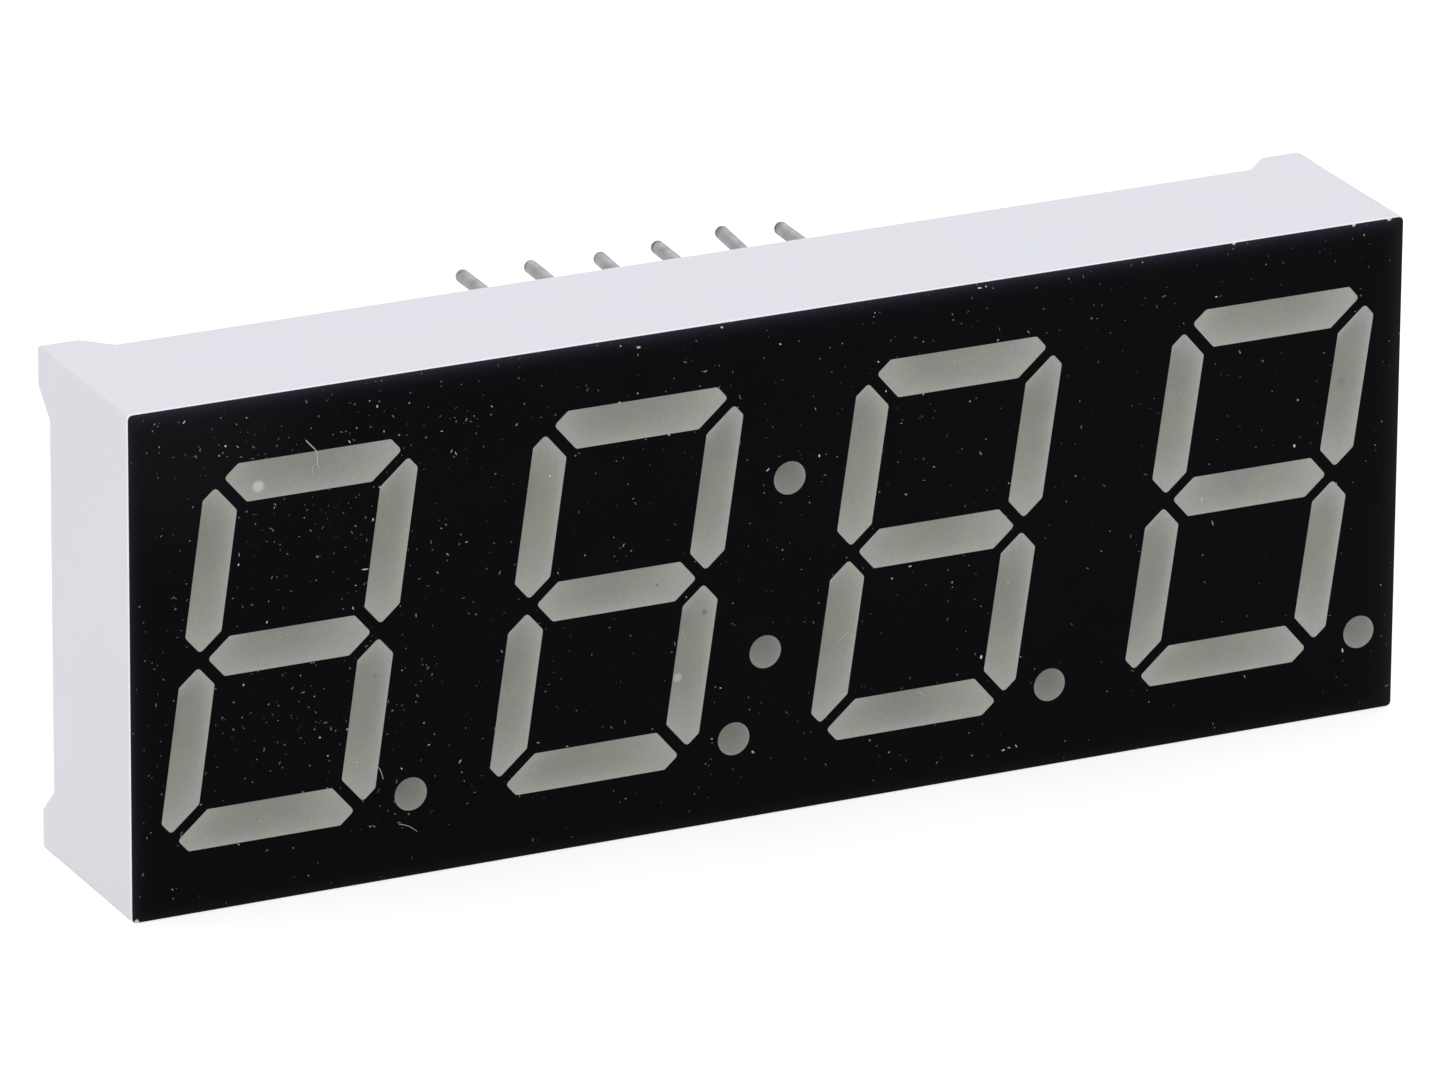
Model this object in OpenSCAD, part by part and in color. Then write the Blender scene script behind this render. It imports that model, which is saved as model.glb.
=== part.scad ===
// Four-digit seven-segment LED display, through-hole, with decimal points and a clock colon.
// X runs along the digits, the face looks towards -Y, the leads leave towards +Y and Z is up
// the digits. The origin is the centre of the lead grid on the seating plane of the feet.
// All sizes are in millimetres.

/* [Package] */
// Width of the housing along the digits
package_w = 50.3; // [50.2:0.1:64]
// Height of the housing
package_h = 19; // [19:0.1:30]
// Depth from the printed face to the tips of the feet
package_d = 8; // [7:0.1:12]
// Side wall around the rear pocket
wall = 0.8; // [0.6:0.1:0.9]
// Rounding of the four long corners
corner_r = 0.15; // [0.05:0.05:0.5]

/* [Feet] */
// How far the corner feet stand behind the rim
foot_stand = 1; // [0.4:0.1:1.2]
// Width of a foot's flat tip
foot_tip_w = 1.6; // [1:0.1:2.4]
// Height of a foot's flat tip
foot_tip_h = 1.5; // [1:0.1:1.7]
// Slope of a foot's two inner sides, from the lead direction
foot_slope = 45; // [0:1:50]

/* [Digits] */
// Distance between neighbouring digits
digit_pitch = 12.7; // [11.6:0.05:12.75]
// Height of a digit over its strokes
digit_h = 14.22; // [11:0.01:14.7]
// Width of a digit over its strokes, before the slant
digit_w = 8.23; // [7:0.01:8.6]
// Thickness of the three horizontal strokes
bar_t = 1.47; // [1:0.01:1.8]
// Thickness of the four upright strokes
upright_t = 1.37; // [1:0.01:1.7]
// Gap between two strokes, square to the mitre
mitre_gap = 0.42; // [0.25:0.01:0.6]
// How far the mitred outer corners stand out past the strokes' centre lines
corner_stand = 0.23; // [0:0.01:0.35]
// Rounding of the strokes' corners
stroke_r = 0.12; // [0.02:0.01:0.16]
// Lean of the digits
slant = 8; // [7.5:0.5:12]

/* [Dots] */
// Diameter of the decimal points and colon dots
dot_d = 1.25; // [1:0.01:1.55]
// Distance from a digit's centre line to its decimal point, before the slant
point_offset = 5.56; // [5.3:0.01:5.65]
// Height of the colon dots above and below the middle
colon_rise = 3.24; // [1.5:0.01:4.5]

/* [Face print] */
// Thickness of the black print
print_t = 0.04; // [0.02:0.01:0.1]
// Bare white margin around the print
print_margin = 0.02; // [0.02:0.01:0.3]

/* [Reflector] */
// Size of a light cavity at the board, as a share of its window
throat_share = 0.6; // [0.5:0.01:0.85]
// Width of a dot's cavity at the board
dot_throat_d = 0.98; // [0.94:0.01:1]
// Front skin over the cored pockets inside the digits
core_skin = 1.5; // [0.8:0.1:2.5]
// Wall left between a cored pocket and the strokes around it
core_wall = 0.7; // [0.4:0.1:1.2]

/* [Circuit board] */
// Thickness of the board
board_t = 1; // [0.6:0.1:1.4]
// Gap between the board and the walls, filled by the potting
board_gap = 0.15; // [0.1:0.05:0.25]
// Diameter of the plated lead holes
lead_hole_d = 0.9; // [0.75:0.05:1.2]

/* [Potting] */
// Thickness of the potting behind the board
potting_t = 1.25; // [0.8:0.05:1.6]
// How far the potting stays below the rim
potting_drop = 0.15; // [0.05:0.05:0.4]

/* [Leads] */
// Diameter of a lead
lead_d = 0.52; // [0.4:0.02:0.64]
// Distance between neighbouring leads
lead_pitch = 2.54; // [2:0.01:3.1]
// Distance between the two rows of leads
row_pitch = 15.24; // [14.2:0.01:15.8]
// How far the leads reach behind the feet
lead_reach = 5; // [3:0.1:10]
// Side of the square shank held by the board and the potting
shank_w = 0.44; // [0.3:0.01:0.46]
// How far the square shank shows behind the potting
shank_show = 0.1; // [0:0.05:0.3]
// Rounding of a lead's cut tip
tip_r = 0.2; // [0.05:0.01:0.2]
// How far a lead runs straight behind the feet before it is bent
bend_start = 0.8; // [0.5:0.1:1.5]
// Radius of the bend along the lead's centre line
bend_r = 1; // [0.6:0.1:2]

/* [Solder] */
// Diameter of a solder joint where it meets the board
solder_d = 1.3; // [1.2:0.05:1.6]
// Height of a solder joint behind the board
solder_rise = 0.4; // [0.2:0.05:0.7]

/* [Light sources] */
// Side of a chip
chip_w = 0.25; // [0.2:0.01:0.3]
// Height of a chip
chip_t = 0.2; // [0.1:0.01:0.25]
// Width of the copper pads, across the row of two
pad_h = 0.4; // [0.32:0.01:0.42]
// Length of the pad under the chip
chip_pad_w = 0.4; // [0.32:0.01:0.42]
// Length of the pad that takes the bond wire
wire_pad_w = 0.25; // [0.2:0.01:0.28]
// Gap between the two pads
pad_gap = 0.12; // [0.08:0.01:0.14]
// Thickness of the copper
pad_t = 0.035; // [0.018:0.001:0.07]
// Diameter of a bond wire
wire_d = 0.025; // [0.02:0.005:0.05]

/* [Hidden] */
$fn = 48;

// Planes across the depth, from the face to the lead tips
face_y = -package_d;
print_back_y = face_y + print_t;
rim_y = -foot_stand;
potting_y = rim_y - potting_drop;
board_back_y = potting_y - potting_t;
board_y = board_back_y - board_t;
reflector_d = board_y - face_y;

// Cutters run this far past the faces that they open
clear = 0.1;
// Arc steps at each rounded corner of an outline
corner_steps = 2;

DIGITS = [1, 2, 3, 4];
SEGMENTS = ["a", "b", "c", "d", "e", "f", "g"];
LEADS = [1, 2, 3, 4, 5, 6, 7, 8, 9, 10, 11, 12];
leads_per_row = 6;

// How far handling has bent the tips of the upper row off their lines, in X and Z,
// from the left lead to the right one
UPPER_BENDS = [[-0.1, 0.15], [0.1, 0.1], [0.35, 0], [0.1, 0.1], [0.15, 0.3], [0, 0.1]];

function segment_name(digit, segment) = str("digit", digit, "_segment_", segment);
function point_name(digit) = str("digit", digit, "_decimal_point");
function lead_name(lead) = str("lead_", lead < 10 ? "0" : "", lead);

// ---- Outlines ----

function slanted(p) = [p[0] + p[1] * tan(slant), p[1]];
function unit(v) = v / norm(v);
function turned(v, angle) = [
    v[0] * cos(angle) - v[1] * sin(angle),
    v[0] * sin(angle) + v[1] * cos(angle)
];

// The arc that replaces corner p between its neighbours before and after
function corner_arc(before, p, after, r) =
    let (
        u = unit(before - p),
        v = unit(after - p),
        half = acos(u * v) / 2,
        centre = p + unit(u + v) * r / sin(half),
        start = p + u * r / tan(half) - centre,
        sweep = (180 - 2 * half) * sign(cross(v, u))
    )
    [for (i = [0:corner_steps]) centre + turned(start, sweep * i / corner_steps)];

function rounded(points, r) =
    let (n = len(points))
    [for (i = [0:n - 1])
        each corner_arc(points[(i + n - 1) % n], points[i], points[(i + 1) % n], r)];

function rectangle(w, h) = [[-w / 2, -h / 2], [w / 2, -h / 2], [w / 2, h / 2], [-w / 2, h / 2]];

// The middle of the box around some points
function middle(points) =
    let (xs = [for (p = points) p[0]], zs = [for (p = points) p[1]])
    [(min(xs) + max(xs)) / 2, (min(zs) + max(zs)) / 2];

// ---- The seven strokes, before the slant, about the digit's centre ----

bar = bar_t / 2;
upright = upright_t / 2;
// Centre lines of the outer upright and horizontal strokes
side_x = digit_w / 2 - upright;
top_z = digit_h / 2 - bar;
// Half of the mitre gap's spread along X or Z
gap = mitre_gap / sqrt(2);

top_bar = [
    [-side_x + bar + gap, top_z - bar],
    [side_x - bar - gap, top_z - bar],
    [side_x + (corner_stand - gap) / 2, top_z + (corner_stand + gap) / 2],
    [side_x + corner_stand - bar, top_z + bar],
    [-side_x - corner_stand + bar, top_z + bar],
    [-side_x - (corner_stand - gap) / 2, top_z + (corner_stand + gap) / 2]
];
middle_bar = [
    [-side_x + gap + bar, -bar],
    [side_x - gap - bar, -bar],
    [side_x - gap, 0],
    [side_x - gap - bar, bar],
    [-side_x + gap + bar, bar],
    [-side_x + gap, 0]
];
upper_right = [
    [side_x - upright, upright + gap],
    [side_x - (corner_stand - gap) / 2, (corner_stand + gap) / 2],
    [side_x + upright, upright + corner_stand],
    [side_x + upright, top_z - upright + corner_stand],
    [side_x + (corner_stand + gap) / 2, top_z + (corner_stand - gap) / 2],
    [side_x - upright, top_z - upright - gap]
];

// Turning a list round keeps a mirrored outline anticlockwise
function reversed(points) = [for (i = [len(points) - 1:-1:0]) points[i]];
function across(points) = reversed([for (p = points) [-p[0], p[1]]]);
function down(points) = reversed([for (p = points) [p[0], -p[1]]]);

function stroke(segment) =
    segment == "a" ? top_bar :
    segment == "b" ? upper_right :
    segment == "c" ? down(upper_right) :
    segment == "d" ? down(top_bar) :
    segment == "e" ? across(down(upper_right)) :
    segment == "f" ? across(upper_right) :
    middle_bar;

function window(segment) = rounded([for (p = stroke(segment)) slanted(p)], stroke_r);
function is_bar(segment) = segment == "a" || segment == "d" || segment == "g";

// ---- Places ----

function digit_x(digit) = (digit - (len(DIGITS) + 1) / 2) * digit_pitch;
function stroke_place(digit, segment) = [digit_x(digit), 0] + middle(window(segment));
function stroke_angle(segment) = is_bar(segment) ? 0 : 90 - slant;
function point_place(digit) = [digit_x(digit), 0] + slanted([point_offset, -top_z]);
function colon_place(way) = slanted([0, way * colon_rise]);

// Leads count from the lower left, along the lower row and back along the upper row
function is_upper(lead) = lead > leads_per_row;
function column(lead) = is_upper(lead) ? 2 * leads_per_row - lead : lead - 1;
function lead_place(lead) = [
    (column(lead) - (leads_per_row - 1) / 2) * lead_pitch,
    (is_upper(lead) ? 1 : -1) * row_pitch / 2
];
function lead_bend(lead) = is_upper(lead) ? UPPER_BENDS[column(lead)] : [0, 0];

// A source's row of two pads is centred on its place
pad_row = chip_pad_w + pad_gap + wire_pad_w;
board_w = package_w - 2 * wall - 2 * board_gap;
// A dot's row of pads stands upright where the board's edge is too near for it
function point_angle(place) = abs(place[0]) + pad_row / 2 > board_w / 2 ? 90 : 0;

// Every light source's place and the angle of its pads
SOURCES = concat(
    [for (digit = DIGITS, segment = SEGMENTS)
        [stroke_place(digit, segment), stroke_angle(segment)]],
    [for (digit = DIGITS) [point_place(digit), point_angle(point_place(digit))]],
    [for (way = [1, -1]) [colon_place(way), 0]]
);

// ---- Helpers that build along the depth ----

// Extrudes an X-Z outline from the plane y1 forward to the plane y0
module slab(points, y0, y1) {
    translate([0, y1, 0])
        rotate([90, 0, 0])
            linear_extrude(height = y1 - y0)
                polygon(points);
}

// Puts a shape that grows along its own +Z onto a plane, growing towards +Y
module growing_back(place, y) {
    translate([place[0], y, place[1]])
        rotate([-90, 0, 0])
            children();
}

// Size of a cavity at a distance in front of the board, as a share of its window
function cavity_share(ahead, throat) = throat + (1 - throat) * ahead / reflector_d;

// A stroke's light cavity, running a little past the face and the board
module stroke_cavity(digit, segment) {
    place = stroke_place(digit, segment);
    rear = cavity_share(-clear, throat_share);
    front = cavity_share(reflector_d + clear, throat_share);
    outline = [for (p = window(segment)) (p - middle(window(segment))) * rear];
    translate([place[0], board_y + clear, place[1]])
        rotate([90, 0, 0])
            linear_extrude(height = reflector_d + 2 * clear, scale = front / rear)
                polygon(outline);
}

module dot_cavity(place) {
    throat = dot_throat_d / dot_d;
    translate([place[0], board_y + clear, place[1]])
        rotate([90, 0, 0])
            cylinder(
                h = reflector_d + 2 * clear,
                d1 = dot_d * cavity_share(-clear, throat),
                d2 = dot_d * cavity_share(reflector_d + clear, throat)
            );
}

module all_cavities() {
    for (digit = DIGITS) {
        for (segment = SEGMENTS) stroke_cavity(digit, segment);
        dot_cavity(point_place(digit));
    }
    for (way = [1, -1]) dot_cavity(colon_place(way));
}

// ---- Reflector housing ----

pocket_w = package_w - 2 * wall;
pocket_h = package_h - 2 * wall;
// A corner post is as wide as its foot is at the rim
post_w = foot_tip_w + foot_stand * tan(foot_slope);
post_h = foot_tip_h + foot_stand * tan(foot_slope);

// Repeats a shape made for the corner at +X +Z at all four corners
module four_corners() {
    for (x = [0, 1], z = [0, 1])
        mirror([x, 0, 0]) mirror([0, 0, z]) children();
}

// A corner post from the pocket's floor to the rim, and the foot behind it
module corner_post() {
    post_y = board_y - clear;
    translate([package_w / 2 - post_w, post_y, package_h / 2 - post_h])
        cube([post_w - wall / 2, rim_y - post_y, post_h - wall / 2]);
    intersection() {
        translate([0, 0, package_h / 2 - post_h])
            linear_extrude(height = post_h)
                foot_profile(package_w / 2, foot_tip_w);
        translate([package_w / 2 - post_w, 0, 0])
            rotate([90, 0, 90])
                linear_extrude(height = post_w)
                    rotate(90) mirror([0, 1]) foot_profile(package_h / 2, foot_tip_h);
    }
}

// A foot seen from its side: the outer edge is straight and the inner one slopes
module foot_profile(outer, tip) {
    rise = foot_stand + clear;
    polygon([
        [outer, rim_y - clear],
        [outer, 0],
        [outer - tip, 0],
        [outer - tip - rise * tan(foot_slope), rim_y - clear]
    ]);
}

// Blind pockets inside the digits, cored from behind to keep the moulded walls even
module core_pockets() {
    half_w = side_x - upright - core_wall;
    low = bar + core_wall;
    high = top_z - bar - core_wall;
    corners = [[-half_w, low], [half_w, low], [half_w, high], [-half_w, high]];
    for (digit = DIGITS, points = [corners, down(corners)])
        translate([digit_x(digit), 0, 0])
            slab([for (p = points) slanted(p)], face_y + core_skin, board_y + clear);
}

module reflector_housing() {
    color("whitesmoke")
        difference() {
            union() {
                difference() {
                    slab(rounded(rectangle(package_w, package_h), corner_r), print_back_y, rim_y);
                    slab(rectangle(pocket_w, pocket_h), board_y, rim_y + clear);
                }
                four_corners() corner_post();
            }
            all_cavities();
            core_pockets();
        }
}

// ---- Face print ----

module face_print() {
    w = package_w - 2 * print_margin;
    h = package_h - 2 * print_margin;
    color("black")
        difference() {
            slab(rounded(rectangle(w, h), corner_r), face_y, print_back_y);
            all_cavities();
        }
}

// ---- Light sources: copper pads, chip and bond wire, built up from the board's front ----

chip_x = (chip_pad_w - pad_row) / 2;
wire_x = (pad_row - wire_pad_w) / 2;
wire_arc_r = (wire_x - chip_x) / 2;

// Puts a shape that grows along its own +Z onto the board's front, growing towards -Y
module on_board(source) {
    translate([source[0][0], board_y, source[0][1]])
        rotate([0, -source[1], 0])
            rotate([90, 0, 0])
                children();
}

module block(x, w, h, z0, z1) {
    translate([x - w / 2, -h / 2, z0]) cube([w, h, z1 - z0]);
}

module source_pads() {
    block(chip_x, chip_pad_w, pad_h, 0, pad_t);
    block(wire_x, wire_pad_w, pad_h, 0, pad_t);
}

module source_chip() {
    block(chip_x, chip_w, chip_w, pad_t, pad_t + chip_t);
}

// The wire arches off the chip's top and drops straight to its pad
module source_wire() {
    translate([(chip_x + wire_x) / 2, 0, pad_t + chip_t])
        rotate([90, 0, 0])
            rotate_extrude(angle = 180)
                translate([wire_arc_r, 0])
                    circle(d = wire_d);
    translate([wire_x, 0, pad_t]) cylinder(h = chip_t, d = wire_d);
}

module board_pads() {
    color("darkgoldenrod")
        for (source = SOURCES) on_board(source) source_pads();
}

module led_chips() {
    color("crimson")
        for (source = SOURCES) on_board(source) source_chip();
}

module bond_wires() {
    color("gold")
        for (source = SOURCES) on_board(source) source_wire();
}

// ---- Segment resin: each fills its cavity around its light source ----

module resin_in(source) {
    color("darkgray")
        difference() {
            intersection() {
                children();
                slab(rectangle(package_w, package_h), face_y, board_y);
            }
            on_board(source) {
                source_pads();
                source_chip();
                source_wire();
            }
        }
}

module segment_resin(digit, segment) {
    resin_in([stroke_place(digit, segment), stroke_angle(segment)])
        stroke_cavity(digit, segment);
}

module dot_resin(place) {
    resin_in([place, point_angle(place)]) dot_cavity(place);
}

// ---- Circuit board ----

module board_blank() {
    w = board_w;
    h = pocket_h - 2 * board_gap;
    notch_w = post_w - wall;
    notch_h = post_h - wall;
    difference() {
        slab(rectangle(w, h), board_y, board_back_y);
        four_corners()
            translate([w / 2 - notch_w, board_y - clear, h / 2 - notch_h])
                cube([notch_w + clear, board_t + 2 * clear, notch_h + clear]);
    }
}

module circuit_board() {
    color("darkkhaki")
        difference() {
            board_blank();
            for (lead = LEADS)
                growing_back(lead_place(lead), board_y - clear)
                    cylinder(h = board_t + 2 * clear, d = lead_hole_d);
        }
}

// ---- Leads ----

shank_y = potting_y + shank_show;

module lead_shank(lead) {
    growing_back(lead_place(lead), board_y) block(0, shank_w, shank_w, 0, shank_y - board_y);
}

module lead_tip() {
    lead_r = lead_d / 2;
    arc = [for (angle = [0:18:90]) [lead_r - tip_r * (1 - cos(angle)), tip_r * sin(angle)]];
    rotate_extrude() polygon(concat([[0, 0]], arc, [[0, tip_r]]));
}

// The round part behind the shank: straight, then leaning off its line by the bend
module lead_wire(bend) {
    straight = bend_start - shank_y;
    run = lead_reach - bend_start;
    lean = atan(norm(bend) / run);
    leaning = (run - bend_r * sin(lean)) / cos(lean) - tip_r;
    cylinder(h = straight, d = lead_d);
    translate([0, 0, straight])
        rotate([0, 0, atan2(-bend[1], bend[0])]) {
            if (lean > 0)
                translate([bend_r, 0, 0])
                    rotate([90, 0, 180])
                        rotate_extrude(angle = lean)
                            translate([bend_r, 0])
                                circle(d = lead_d);
            translate([bend_r * (1 - cos(lean)), 0, bend_r * sin(lean)])
                rotate([0, lean, 0]) {
                    cylinder(h = leaning, d = lead_d);
                    translate([0, 0, leaning]) lead_tip();
                }
        }
}

module lead(lead) {
    color("silver") {
        lead_shank(lead);
        growing_back(lead_place(lead), shank_y) lead_wire(lead_bend(lead));
    }
}

// ---- Solder joints: each fills its plated hole and rises around the shank ----

module solder_body(lead) {
    growing_back(lead_place(lead), board_y) cylinder(h = board_t, d = lead_hole_d);
    growing_back(lead_place(lead), board_back_y)
        cylinder(h = solder_rise, d1 = solder_d, d2 = lead_hole_d);
}

module solder_joints() {
    color("gainsboro")
        for (lead = LEADS)
            difference() {
                solder_body(lead);
                lead_shank(lead);
            }
}

// ---- Rear potting: fills the pocket around and behind the board ----

module rear_potting() {
    color("lightgray")
        difference() {
            slab(rectangle(pocket_w, pocket_h), board_y, potting_y);
            four_corners() corner_post();
            board_blank();
            for (lead = LEADS) {
                solder_body(lead);
                lead_shank(lead);
            }
        }
}

// ---- Assembly ----

reflector_housing();
face_print();
for (digit = DIGITS) {
    for (segment = SEGMENTS)
        segment_resin(digit, segment);
    dot_resin(point_place(digit));
}
dot_resin(colon_place(1));  // colon_upper
dot_resin(colon_place(-1));  // colon_lower
circuit_board();
board_pads();
led_chips();
bond_wires();
for (lead = LEADS)
    lead(lead);
solder_joints();
rear_potting();
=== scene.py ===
import math

import bmesh
import bpy
from mathutils import Matrix, Vector, geometry, kdtree, noise


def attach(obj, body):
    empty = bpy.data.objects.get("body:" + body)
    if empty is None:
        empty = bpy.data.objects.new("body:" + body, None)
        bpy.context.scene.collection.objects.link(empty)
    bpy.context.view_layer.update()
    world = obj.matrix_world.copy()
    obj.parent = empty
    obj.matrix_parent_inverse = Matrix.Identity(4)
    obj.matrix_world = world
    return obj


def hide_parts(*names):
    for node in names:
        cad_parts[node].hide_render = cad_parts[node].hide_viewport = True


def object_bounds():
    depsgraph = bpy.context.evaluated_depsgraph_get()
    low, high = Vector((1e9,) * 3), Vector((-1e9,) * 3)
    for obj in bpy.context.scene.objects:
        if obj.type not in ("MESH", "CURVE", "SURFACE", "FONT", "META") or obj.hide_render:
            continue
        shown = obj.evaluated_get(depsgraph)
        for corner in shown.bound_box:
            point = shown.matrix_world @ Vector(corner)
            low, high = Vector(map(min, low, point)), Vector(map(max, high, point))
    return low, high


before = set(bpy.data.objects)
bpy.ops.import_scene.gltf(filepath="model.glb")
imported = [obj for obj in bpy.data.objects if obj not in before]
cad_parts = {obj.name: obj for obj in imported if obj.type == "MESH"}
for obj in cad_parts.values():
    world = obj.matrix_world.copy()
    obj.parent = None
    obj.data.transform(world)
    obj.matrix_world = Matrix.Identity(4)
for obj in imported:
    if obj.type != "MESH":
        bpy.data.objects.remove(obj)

cad_box = [list(corner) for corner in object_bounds()]


# ---- Studio ----
# The display stands on its lower long side, on a pale tabletop inside a white light tent.
# The tent is the even world light, and two large lamps behind its cloth model the shape.

# Sizes are written in millimetres, and Blender takes metres.
MM = 0.001


def linear(colour):
    """The linear red, green, blue and alpha of an sRGB hex colour."""
    channels = [int(colour[i:i + 2], 16) / 255 for i in (1, 3, 5)]
    return [c / 12.92 if c <= 0.04045 else ((c + 0.055) / 1.055) ** 2.4 for c in channels] + [1]


def add(tree, kind, links=None, inputs=None, **settings):
    """Adds a node: settings are its own, inputs are socket values, and links feed its sockets."""
    made = tree.nodes.new(kind)
    for name, value in settings.items():
        setattr(made, name, value)
    for name, value in (inputs or {}).items():
        made.inputs[name].default_value = value
    for name, source in (links or {}).items():
        tree.links.new(source, made.inputs[name])
    return made


def new_material(name):
    """A material with an empty node tree, and that tree."""
    material = bpy.data.materials.new(name)
    material.use_nodes = True
    material.node_tree.nodes.clear()
    return material, material.node_tree


bpy.context.scene.view_settings.view_transform = "Standard"

# A long lens 0.48 m away, looking down on the display from its left.
camera_data = bpy.data.cameras.new("camera")
camera_data.lens = 331.58
camera_data.sensor_width = 36
camera_data.clip_start = 0.02
camera_data.clip_end = 20
camera = bpy.data.objects.new("camera", camera_data)
bpy.context.scene.collection.objects.link(camera)
bpy.context.scene.camera = camera
camera_place = Vector((-196.152, -404.409, 167.098)) * MM
azimuth = math.radians(-26.061)
elevation = math.radians(20.591)
roll = math.radians(0.438)
back = Vector((
    math.sin(azimuth) * math.cos(elevation),
    -math.cos(azimuth) * math.cos(elevation),
    math.sin(elevation),
))
level_right = (-back).cross(Vector((0, 0, 1))).normalized()
level_up = level_right.cross(-back)
right = math.cos(roll) * level_right + math.sin(roll) * level_up
up = -math.sin(roll) * level_right + math.cos(roll) * level_up
turned = Matrix((right, up, back)).transposed().to_4x4()
camera.matrix_world = Matrix.Translation(camera_place) @ turned

# The tabletop is 3 m square, and a hair below the object, so that no two faces share a plane.
floor_z = cad_box[0][2] - 0.01 * MM
floor_half = 1.5
floor_mesh = bpy.data.meshes.new("tabletop")
floor_mesh.from_pydata(
    [(x * floor_half, y * floor_half, floor_z) for x, y in ((-1, -1), (1, -1), (1, 1), (-1, 1))],
    [],
    [(0, 1, 2, 3)],
)
tabletop = bpy.data.objects.new("tabletop", floor_mesh)
bpy.context.scene.collection.objects.link(tabletop)

# White laminate. To the eye and in reflections it glows a little, so that it reads as white
# and still carries the object's soft shadow.
laminate, tree = new_material("tabletop_white_laminate")
path = add(tree, "ShaderNodeLightPath")
seen = add(tree, "ShaderNodeMath", operation="MAXIMUM",
           links={0: path.outputs["Is Camera Ray"], 1: path.outputs["Is Glossy Ray"]})
seen_all = add(tree, "ShaderNodeMath", operation="MAXIMUM",
               links={0: seen.outputs[0], 1: path.outputs["Is Transmission Ray"]})
plain = add(tree, "ShaderNodeBsdfDiffuse", inputs={"Color": linear("#E4E4E6")})
glow = add(tree, "ShaderNodeEmission", inputs={"Color": (1, 1, 1, 1), "Strength": 0.53})
lit = add(tree, "ShaderNodeAddShader", links={0: plain.outputs[0], 1: glow.outputs[0]})
mixed = add(tree, "ShaderNodeMixShader",
            links={0: seen_all.outputs[0], 1: plain.outputs[0], 2: lit.outputs[0]})
add(tree, "ShaderNodeOutputMaterial", links={"Surface": mixed.outputs[0]})
floor_mesh.materials.append(laminate)

world = bpy.data.worlds.new("light_tent")
world.use_nodes = True
world.node_tree.nodes.clear()
bpy.context.scene.world = world
tree = world.node_tree
path = add(tree, "ShaderNodeLightPath")
seen = add(tree, "ShaderNodeMath", operation="MAXIMUM",
           links={0: path.outputs["Is Camera Ray"], 1: path.outputs["Is Glossy Ray"]})
seen_all = add(tree, "ShaderNodeMath", operation="MAXIMUM",
               links={0: seen.outputs[0], 1: path.outputs["Is Transmission Ray"]})
tent = add(tree, "ShaderNodeBackground", inputs={"Color": linear("#FBFBFF"), "Strength": 0.645})
white = add(tree, "ShaderNodeBackground", inputs={"Color": (1, 1, 1, 1), "Strength": 1})
mixed = add(tree, "ShaderNodeMixShader",
            links={0: seen_all.outputs[0], 1: tent.outputs[0], 2: white.outputs[0]})
add(tree, "ShaderNodeOutputWorld", links={"Surface": mixed.outputs[0]})


def lamp(name, place, size, power, colour):
    """A square soft lamp at a place in millimetres, aimed at the object."""
    data = bpy.data.lights.new(name, "AREA")
    data.shape = "SQUARE"
    data.size = size * MM
    data.energy = power
    data.color = linear(colour)[:3]
    made = bpy.data.objects.new(name, data)
    made.location = Vector(place) * MM
    made.rotation_euler = (-made.location).to_track_quat("-Z", "Y").to_euler()
    bpy.context.scene.collection.objects.link(made)


lamp("lamp_upper_left", (-1560, -1020, 1260), 1500, 19, "#FFFEF7")
lamp("lamp_rear", (190, 520, 420), 500, 1.0, "#F4F6FF")


# ---- Reflector housing ----
# One moulding of white polycarbonate, open at the back for the board, with a foot at each
# corner. Its outer edges are softly radiused by the tool, and its sides are fine matt.

def merged(*nodes):
    """CAD nodes as one bmesh, with their loose triangles merged into flat faces."""
    shape = bmesh.new()
    for node in nodes:
        shape.from_mesh(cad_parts[node].data)
    bmesh.ops.remove_doubles(shape, verts=shape.verts, dist=0.0005 * MM)
    flat = math.radians(0.2)
    bmesh.ops.dissolve_limit(shape, angle_limit=flat, verts=shape.verts, edges=shape.edges)
    return shape


def piece_from(name, shape):
    """A new object made from a bmesh, with its place in its mesh."""
    mesh = bpy.data.meshes.new(name)
    shape.to_mesh(mesh)
    shape.free()
    piece = bpy.data.objects.new(name, mesh)
    bpy.context.scene.collection.objects.link(piece)
    return piece


def bake(piece):
    """Turns an object's modifiers into plain mesh."""
    shown = piece.evaluated_get(bpy.context.evaluated_depsgraph_get())
    mesh = bpy.data.meshes.new_from_object(shown)
    piece.modifiers.clear()
    piece.data = mesh


def smooth(piece, angle):
    """Smooth shading, with edges over an angle in degrees kept sharp."""
    piece.data.shade_smooth()
    piece.data.set_sharp_from_angle(angle=math.radians(angle))


def shade_flats(piece):
    """Keeps wide flat faces evenly shaded next to their narrow roundings."""
    piece.modifiers.new("weighted_normals", "WEIGHTED_NORMAL").keep_sharp = True
    bake(piece)


def settle(piece, material, slot, *nodes):
    """Gives a finished piece its material and its body, and hides the CAD nodes it stands for. The slot
    is not used.
    """
    piece.data.materials.clear()
    piece.data.materials.append(material)
    if nodes:
        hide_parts(*nodes)
    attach(piece, "root")


def millimetres(tree):
    """The object's own coordinates in millimetres, for patterns and single marks."""
    place = add(tree, "ShaderNodeTexCoord").outputs["Object"]
    return add(tree, "ShaderNodeVectorMath", operation="SCALE",
               links={0: place}, inputs={3: 1000}).outputs[0]


def blend(tree, factor, first, second):
    """The colour between two, each a hex value or a socket."""
    mixed = add(tree, "ShaderNodeMix", data_type="RGBA", links={0: factor})
    for index, colour in ((6, first), (7, second)):
        if isinstance(colour, str):
            mixed.inputs[index].default_value = linear(colour)
        else:
            tree.links.new(colour, mixed.inputs[index])
    return mixed.outputs[2]


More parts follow.
